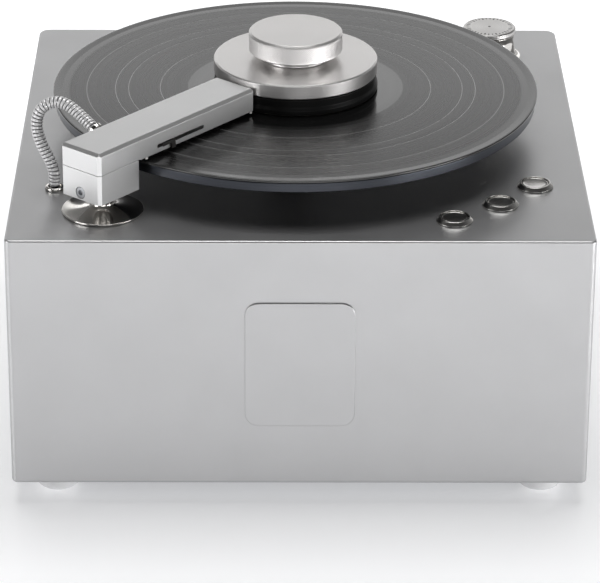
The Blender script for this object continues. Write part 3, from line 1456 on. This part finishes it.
def hose_gland():
    """The domed collar on the deck that the hose rises from."""
    profile = [
        (DUCT_RADIUS, -GLAND_DEPTH),
        (GLAND_BODY, -GLAND_DEPTH),
        (GLAND_BODY, SEAT_GAP),
        (GLAND_RADIUS, SEAT_GAP, EDGE / 2),
        (GLAND_RADIUS, GLAND_HEIGHT, GLAND_ROUNDING),
        (GLAND_MOUTH_RADIUS, GLAND_HEIGHT),
        (GLAND_MOUTH_RADIUS, GLAND_HEIGHT - GLAND_MOUTH_DEPTH),
        (DUCT_RADIUS, GLAND_HEIGHT - GLAND_MOUTH_DEPTH),
    ]
    made = turned("gland_collar", profile, SMALL_STEPS, GLAND, LOOKS["chrome"])
    dress(made, "case", "chrome", "hose_gland")


def buttons():
    """Three push buttons: a bezel with its barrel, and a dished cap in it."""
    bore = CAP_RADIUS + RUN_GAP
    floor = BARREL_FLOOR - BARREL_DEPTH
    bezel = [
        (0, -BARREL_DEPTH),
        (BARREL_RADIUS, -BARREL_DEPTH),
        (BARREL_RADIUS, SEAT_GAP),
        (BEZEL_RADIUS, SEAT_GAP, EDGE / 2),
        (BEZEL_RADIUS, BEZEL_FOOT, EDGE),
        (BEZEL_CREST, BEZEL_TOP, 0.0006),
        (bore, BEZEL_TOP, FINE_EDGE),
        (bore, floor),
        (0, floor),
    ]
    top = BEZEL_TOP - CAP_SINK
    stem = floor + BUTTON_TRAVEL + SEAT_GAP
    rim = CAP_RADIUS - BEZEL_CHAMFER
    dish = [(rim * math.sin(turn), top - CAP_DISH * math.cos(turn)) for turn in quarter_turns(12)]
    cap = [
        (0, stem),
        (CAP_STEM, stem),
        (CAP_STEM, top - CAP_SKIRT),
        (CAP_RADIUS, top - CAP_SKIRT),
        (CAP_RADIUS, top, EDGE),
        *reversed(dish),
    ]
    for number, place in enumerate(BUTTONS, 1):
        made = turned(f"button_{number}_ring", bezel, MEDIUM_STEPS, place, LOOKS["satin_chrome"])
        dress(made, "case", "chrome", f"button_{number}_bezel")
        made = turned(f"button_{number}_dish", cap, MEDIUM_STEPS, place, LOOKS["satin_chrome"])
        dress(made, f"button_{number}", "chrome", f"button_{number}_cap")


def quarter_turns(steps):
    """Angles from nothing to a quarter turn."""
    return [math.pi / 2 * step / steps for step in range(steps + 1)]


def dial():
    """The waisted column and the knob with its ring of marks."""
    bore = DIAL_SHAFT + RUN_GAP
    knob_under = DIAL_TOP - DIAL_KNOB_THICKNESS
    shoulder = knob_under - SEAT_GAP
    profile = [
        (bore, SEAT_GAP),
        (DIAL_BASE_RADIUS, SEAT_GAP, EDGE / 2),
        *quarter((DIAL_BASE_RADIUS, SEAT_GAP + DIAL_BASE_RIM), (DIAL_COLUMN_RADIUS, DIAL_COLUMN_RISE), 12),
        (DIAL_WAIST_RADIUS, DIAL_WAIST_RISE, 0.012),
        (DIAL_SHOULDER_RADIUS, shoulder, EDGE),
        (bore, shoulder),
    ]
    made = turned("dial_column", profile, MEDIUM_STEPS, DIAL_AXIS, LOOKS["chrome"])
    dress(made, "case", "chrome", "dial_base")
    grip_top = knob_under + DIAL_SHAFT_GRIP
    profile = [
        (0, grip_top),
        (bore, grip_top),
        (bore, knob_under),
        (DIAL_KNOB_RADIUS, knob_under, DIAL_ROUNDING),
        (DIAL_KNOB_RADIUS, DIAL_TOP - DIAL_ROUNDING, FINE_EDGE),
        (DIAL_KNOB_RADIUS - DIAL_ROUNDING, DIAL_TOP, FINE_EDGE),
        (0, DIAL_TOP),
    ]
    made = turned("dial_knob_marked", profile, MEDIUM_STEPS, DIAL_AXIS, LOOKS["dial_face"])
    dress(made, "dial", "aluminium", "dial_knob")


def plug_in_frame(name, flange, body, cavity, corners):
    """A bmesh of a flanged frame for the rear wall, whose own Z points out of the wall."""
    front = SEAT_GAP + flange[2]
    plate = slab(rectangle(*flange[:2], PANEL_CORNER_RADIUS), SEAT_GAP, front, PANEL_EDGE)
    box = slab(rectangle(*body[:2], PANEL_EDGE), -body[2], SEAT_GAP + flange[2] / 2)
    pocket = slab(rectangle(*cavity[:2], *corners), front - cavity[2], front + CUT_OVERRUN)
    frame_bm = carved(carved(plate, box, operation="UNION"), pocket)
    place = centre_of(name)
    place.y = BACK_Y
    made = mesh_object(name + "_frame", frame_bm, place, ALONG_Y, LOOKS["black_plastic"])
    return dress(made, "case", "black_plastic", name)


def mains_inlet():
    """The mains inlet with its three flat pins."""
    frame_piece = plug_in_frame("mains_inlet", INLET_FLANGE, INLET_BODY, INLET_CAVITY, INLET_CAVITY_CORNERS)
    floor_y = SEAT_GAP + INLET_FLANGE[2] - INLET_CAVITY[2]
    pins = []
    for index in (-1, 0, 1):
        x = index * INLET_PIN_SPACING
        z = INLET_PIN_RISE if index == 0 else -INLET_PIN_RISE
        half = Vector(INLET_PIN) / 2
        middle = Vector((x, floor_y + half.y, z))
        pin = block(middle - half, middle + half)
        pins.append(bevel(pin, lambda a, b: a.y > middle.y and b.y > middle.y, PANEL_EDGE, 2))
    place = frame_piece.matrix_world.translation
    made = mesh_object("mains_inlet_pins", join(*pins), place, None, LOOKS["steel"])
    dress(made, "case", "steel")


def power_switch():
    """The power switch's frame and its dished rocker."""
    plug_in_frame("switch_frame", SWITCH_FLANGE, SWITCH_BODY, SWITCH_CAVITY, SWITCH_CAVITY_CORNERS)
    face = []
    steps = 2 * ROUNDING_STEPS
    for step in range(steps + 1):
        share = 2 * step / steps - 1
        face.append((ROCKER_FRONT - ROCKER_DIP * (1 - share**2), ROCKER_HALF_HEIGHT * share))
    outline = [*face, (-ROCKER_BACK, ROCKER_HALF_HEIGHT), (-ROCKER_BACK, -ROCKER_HALF_HEIGHT)]
    rocker = stacked([(outline, -ROCKER_WIDTH / 2), (outline, ROCKER_WIDTH / 2)])
    turn = Matrix.Rotation(-ROCKER_TILT, 4, "X") @ ACROSS_X
    soften(rocker, EDGE)
    made = mesh_object("switch_rocker_dished", rocker, axis_of("rocker_tip"), turn, LOOKS["black_plastic"])
    dress(made, "rocker", "black_plastic", "switch_rocker")


def exhaust_grille():
    """The rear grille: a rounded plate with level slots."""
    low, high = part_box("exhaust_grille")
    size = high - low
    plate = slab(rectangle(size.x, size.z, GRILLE_CORNER_RADIUS), 0, size.y, PANEL_EDGE)
    width = GRILLE_OPENING[0]
    cutters = []
    for index in range(GRILLE_SLOTS):
        y = (index - (GRILLE_SLOTS - 1) / 2) * width / GRILLE_SLOTS
        outline = rectangle(width, GRILLE_SLOT_HEIGHT, GRILLE_SLOT_HEIGHT * 0.45, centre=(0, y))
        cutters.append(slab(outline, -CUT_OVERRUN, size.y + CUT_OVERRUN))
    place = ((low.x + high.x) / 2, low.y, (low.z + high.z) / 2)
    made = mesh_object("grille_slotted", carved(plate, *cutters), place, ALONG_Y, LOOKS["black_plastic"])
    dress(made, "case", "black_plastic", "exhaust_grille")


def cock_place():
    """The point on the drain cock's axis at the middle of the world's Y."""
    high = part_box("drain_cock")[1]
    return (axis_of("drain_turn").x, 0, high.z - COCK_FLANGE_RADIUS)


def drain_cock():
    """The cock through the rear wall, with its spout and its paddle lever."""
    low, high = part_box("drain_cock")
    flange_low = BACK_Y + SEAT_GAP
    flange_high = flange_low + COCK_FLANGE_THICKNESS
    spout_y = high.y - SPOUT_INSET
    profile = [
        (0, low.y),
        (COCK_STUB_RADIUS, low.y),
        (COCK_STUB_RADIUS, flange_low),
        (COCK_FLANGE_RADIUS, flange_low, PANEL_EDGE),
        (COCK_FLANGE_RADIUS, flange_high, PANEL_EDGE),
        (COCK_BARREL_RADIUS, flange_high, PANEL_EDGE),
        (COCK_BARREL_RADIUS, high.y, 0.0012),
        (0, high.y),
    ]
    barrel = placed(spun(rounded(profile), SMALL_STEPS), turn=ALONG_Y)
    spout = [(0, -SPOUT_DROP), (SPOUT_RADIUS, -SPOUT_DROP, PANEL_EDGE), (SPOUT_RADIUS, 0), (0, 0)]
    whole = carved(barrel, placed(spun(rounded(spout), SMALL_STEPS), (0, spout_y, 0)), operation="UNION")
    bores = [
        rod(COCK_BORE_RADIUS, low.y - CUT_OVERRUN, spout_y, TINY_STEPS, turn=ALONG_Y),
        rod(COCK_BORE_RADIUS, -SPOUT_DROP - CUT_OVERRUN, 0, TINY_STEPS, (0, spout_y, 0)),
    ]
    made = mesh_object("drain_cock_turned", carved(whole, *bores), cock_place(), None, LOOKS["satin_chrome"])
    dress(made, "case", "chrome", "drain_cock")
    bottom = COCK_BARREL_RADIUS + SEAT_GAP
    top = bottom + LEVER_HUB_HEIGHT
    hub = spun(rounded([(0, bottom), (LEVER_HUB_RADIUS, bottom, EDGE), (LEVER_HUB_RADIUS, top, EDGE), (0, top)]), SMALL_STEPS)
    outline = rectangle(LEVER_LENGTH, LEVER_WIDTH, LEVER_WIDTH * 0.45, centre=(LEVER_LENGTH / 2, 0))
    paddle = slab(outline, top - LEVER_THICKNESS, top, PANEL_EDGE, PANEL_EDGE)
    place = Vector(cock_place())
    place.y = axis_of("drain_turn").y
    lever = carved(hub, paddle, operation="UNION")
    made = mesh_object("drain_lever_paddle", lever, place, None, LOOKS["satin_chrome"])
    dress(made, "lever", "chrome", "drain_lever")


def carried_over():
    """Gives each node that still shows its procedural finish."""
    slots = {row["node"]: row["material_slot"] for row in frame["record"]["subparts"]}
    for name, node in NODES.items():
        if node.hide_render:
            continue
        node.data.materials.clear()
        node.data.materials.append(LOOKS[slots[name]])


# Stage


def area_light(name, place, target, size, power, colour=(1, 1, 1)):
    """A soft box that faces a point."""
    light = bpy.data.lights.new(name, "AREA")
    light.shape = "RECTANGLE"
    light.size, light.size_y = size
    light.energy = power
    light.color = colour
    holder = bpy.data.objects.new(name, light)
    holder.location = place
    holder.rotation_euler = (Vector(target) - Vector(place)).to_track_quat("-Z", "Y").to_euler()
    bpy.context.scene.collection.objects.link(holder)
    return holder


def floor():
    """A pale, slightly glossy table."""
    bm = bmesh.new()
    bmesh.ops.create_grid(bm, x_segments=1, y_segments=1, size=6)
    made = mesh_object("table_surface", bm, (0, 0, -0.0002))
    look = Look("table_white", (0.82, 0.82, 0.83), 0.0, 0.16)
    look.shader.inputs["Emission Color"].default_value = (0.985, 0.99, 1.0, 1)
    near, far = 0.29, 0.56
    glow = look.remap(look.radius(), 0.15, 0.70, near, far, "SMOOTHSTEP")
    look.give(look.shader.inputs["Emission Strength"], glow)
    fine = look.noise(60, 2.0, 0.5)
    look.rough(fine, 0.01)
    made.data.materials.append(look.material)


def world():
    """White for the camera, and a grey studio with a paler top for what the metal reflects."""
    made = bpy.data.worlds.new("studio")
    bpy.context.scene.world = made
    made.use_nodes = True
    tree = made.node_tree
    tree.nodes.clear()
    output = tree.nodes.new("ShaderNodeOutputWorld")
    place = tree.nodes.new("ShaderNodeTexCoord")
    parts = tree.nodes.new("ShaderNodeSeparateXYZ")
    tree.links.new(place.outputs["Generated"], parts.inputs[0])
    ramp = tree.nodes.new("ShaderNodeValToRGB")
    ramp.color_ramp.interpolation = "EASE"
    tree.links.new(parts.outputs["Z"], ramp.inputs[0])
    stops = ramp.color_ramp.elements
    stops[0].position, stops[0].color = 0.0, (0.60, 0.60, 0.60, 1)
    stops[1].position, stops[1].color = 1.0, (0.12, 0.12, 0.12, 1)
    low = stops.new(0.16)
    low.color = (0.36, 0.36, 0.36, 1)
    middle = stops.new(0.45)
    middle.color = (0.20, 0.20, 0.20, 1)
    grey = tree.nodes.new("ShaderNodeBackground")
    tree.links.new(ramp.outputs[0], grey.inputs["Color"])
    ahead = tree.nodes.new("ShaderNodeMapRange")
    tree.links.new(parts.outputs["Y"], ahead.inputs["Value"])
    ahead.inputs["From Min"].default_value = -0.3
    ahead.inputs["From Max"].default_value = 0.4
    ahead.inputs["To Min"].default_value = 0.25
    ahead.inputs["To Max"].default_value = 1.0
    tree.links.new(ahead.outputs[0], grey.inputs["Strength"])
    white = tree.nodes.new("ShaderNodeBackground")
    white.inputs["Color"].default_value = (1, 1, 1, 1)
    path = tree.nodes.new("ShaderNodeLightPath")
    mix = tree.nodes.new("ShaderNodeMixShader")
    tree.links.new(path.outputs["Is Camera Ray"], mix.inputs[0])
    tree.links.new(grey.outputs[0], mix.inputs[1])
    tree.links.new(white.outputs[0], mix.inputs[2])
    tree.links.new(mix.outputs[0], output.inputs["Surface"])


def lights():
    """Soft boxes at the left, the right and over the front."""
    area_light("back_panel", (0, 2.3, 0.88), (0, 0, 0.2), (3.2, 0.66), 7.6)
    area_light("left_box", (-1.5, -0.9, 0.6), (0, 0, 0.12), (0.9, 0.7), 10)
    area_light("right_box", (1.5, -0.8, 0.24), (0, 0, 0.2), (1.0, 0.36), 13.5)
    area_light("top_box", (0.0, 0.3, 2.4), (0, 0, 0.15), (1.6, 1.2), 30)
    area_light("front_box", (0.3, -2.4, 0.45), (0, 0, 0.15), (1.6, 0.5), 8)


CAMERA_LENS = 206.72
CAMERA_PLACE = (-0.01551, -2.01238, 1.00122)
CAMERA_PITCH = math.radians(25.208)
CAMERA_YAW = math.radians(-0.479)
CAMERA_ROLL = math.radians(0.295)


def camera():
    """A long lens from the front and above, as the photograph was taken."""
    lens = bpy.data.cameras.new("camera")
    lens.lens = CAMERA_LENS
    holder = bpy.data.objects.new("camera", lens)
    bpy.context.scene.collection.objects.link(holder)
    turn = Matrix.Rotation(CAMERA_YAW, 4, "Z") @ Matrix.Rotation(math.pi / 2 - CAMERA_PITCH, 4, "X")
    turn = turn @ Matrix.Rotation(CAMERA_ROLL, 4, "Z")
    holder.matrix_world = Matrix.Translation(CAMERA_PLACE) @ turn
    bpy.context.scene.camera = holder


camera()
hose()
case_shell()
badge()
feet()
record()
platter()
spindle()
clamp()
arm()
arm_screw()
suction_lip()
arm_post()
lift_spring()
arm_hose_fitting()
hose_gland()
buttons()
dial()
mains_inlet()
power_switch()
exhaust_grille()
drain_cock()
carried_over()
floor()
world()
lights()
bpy.context.scene.view_settings.view_transform = "Standard"
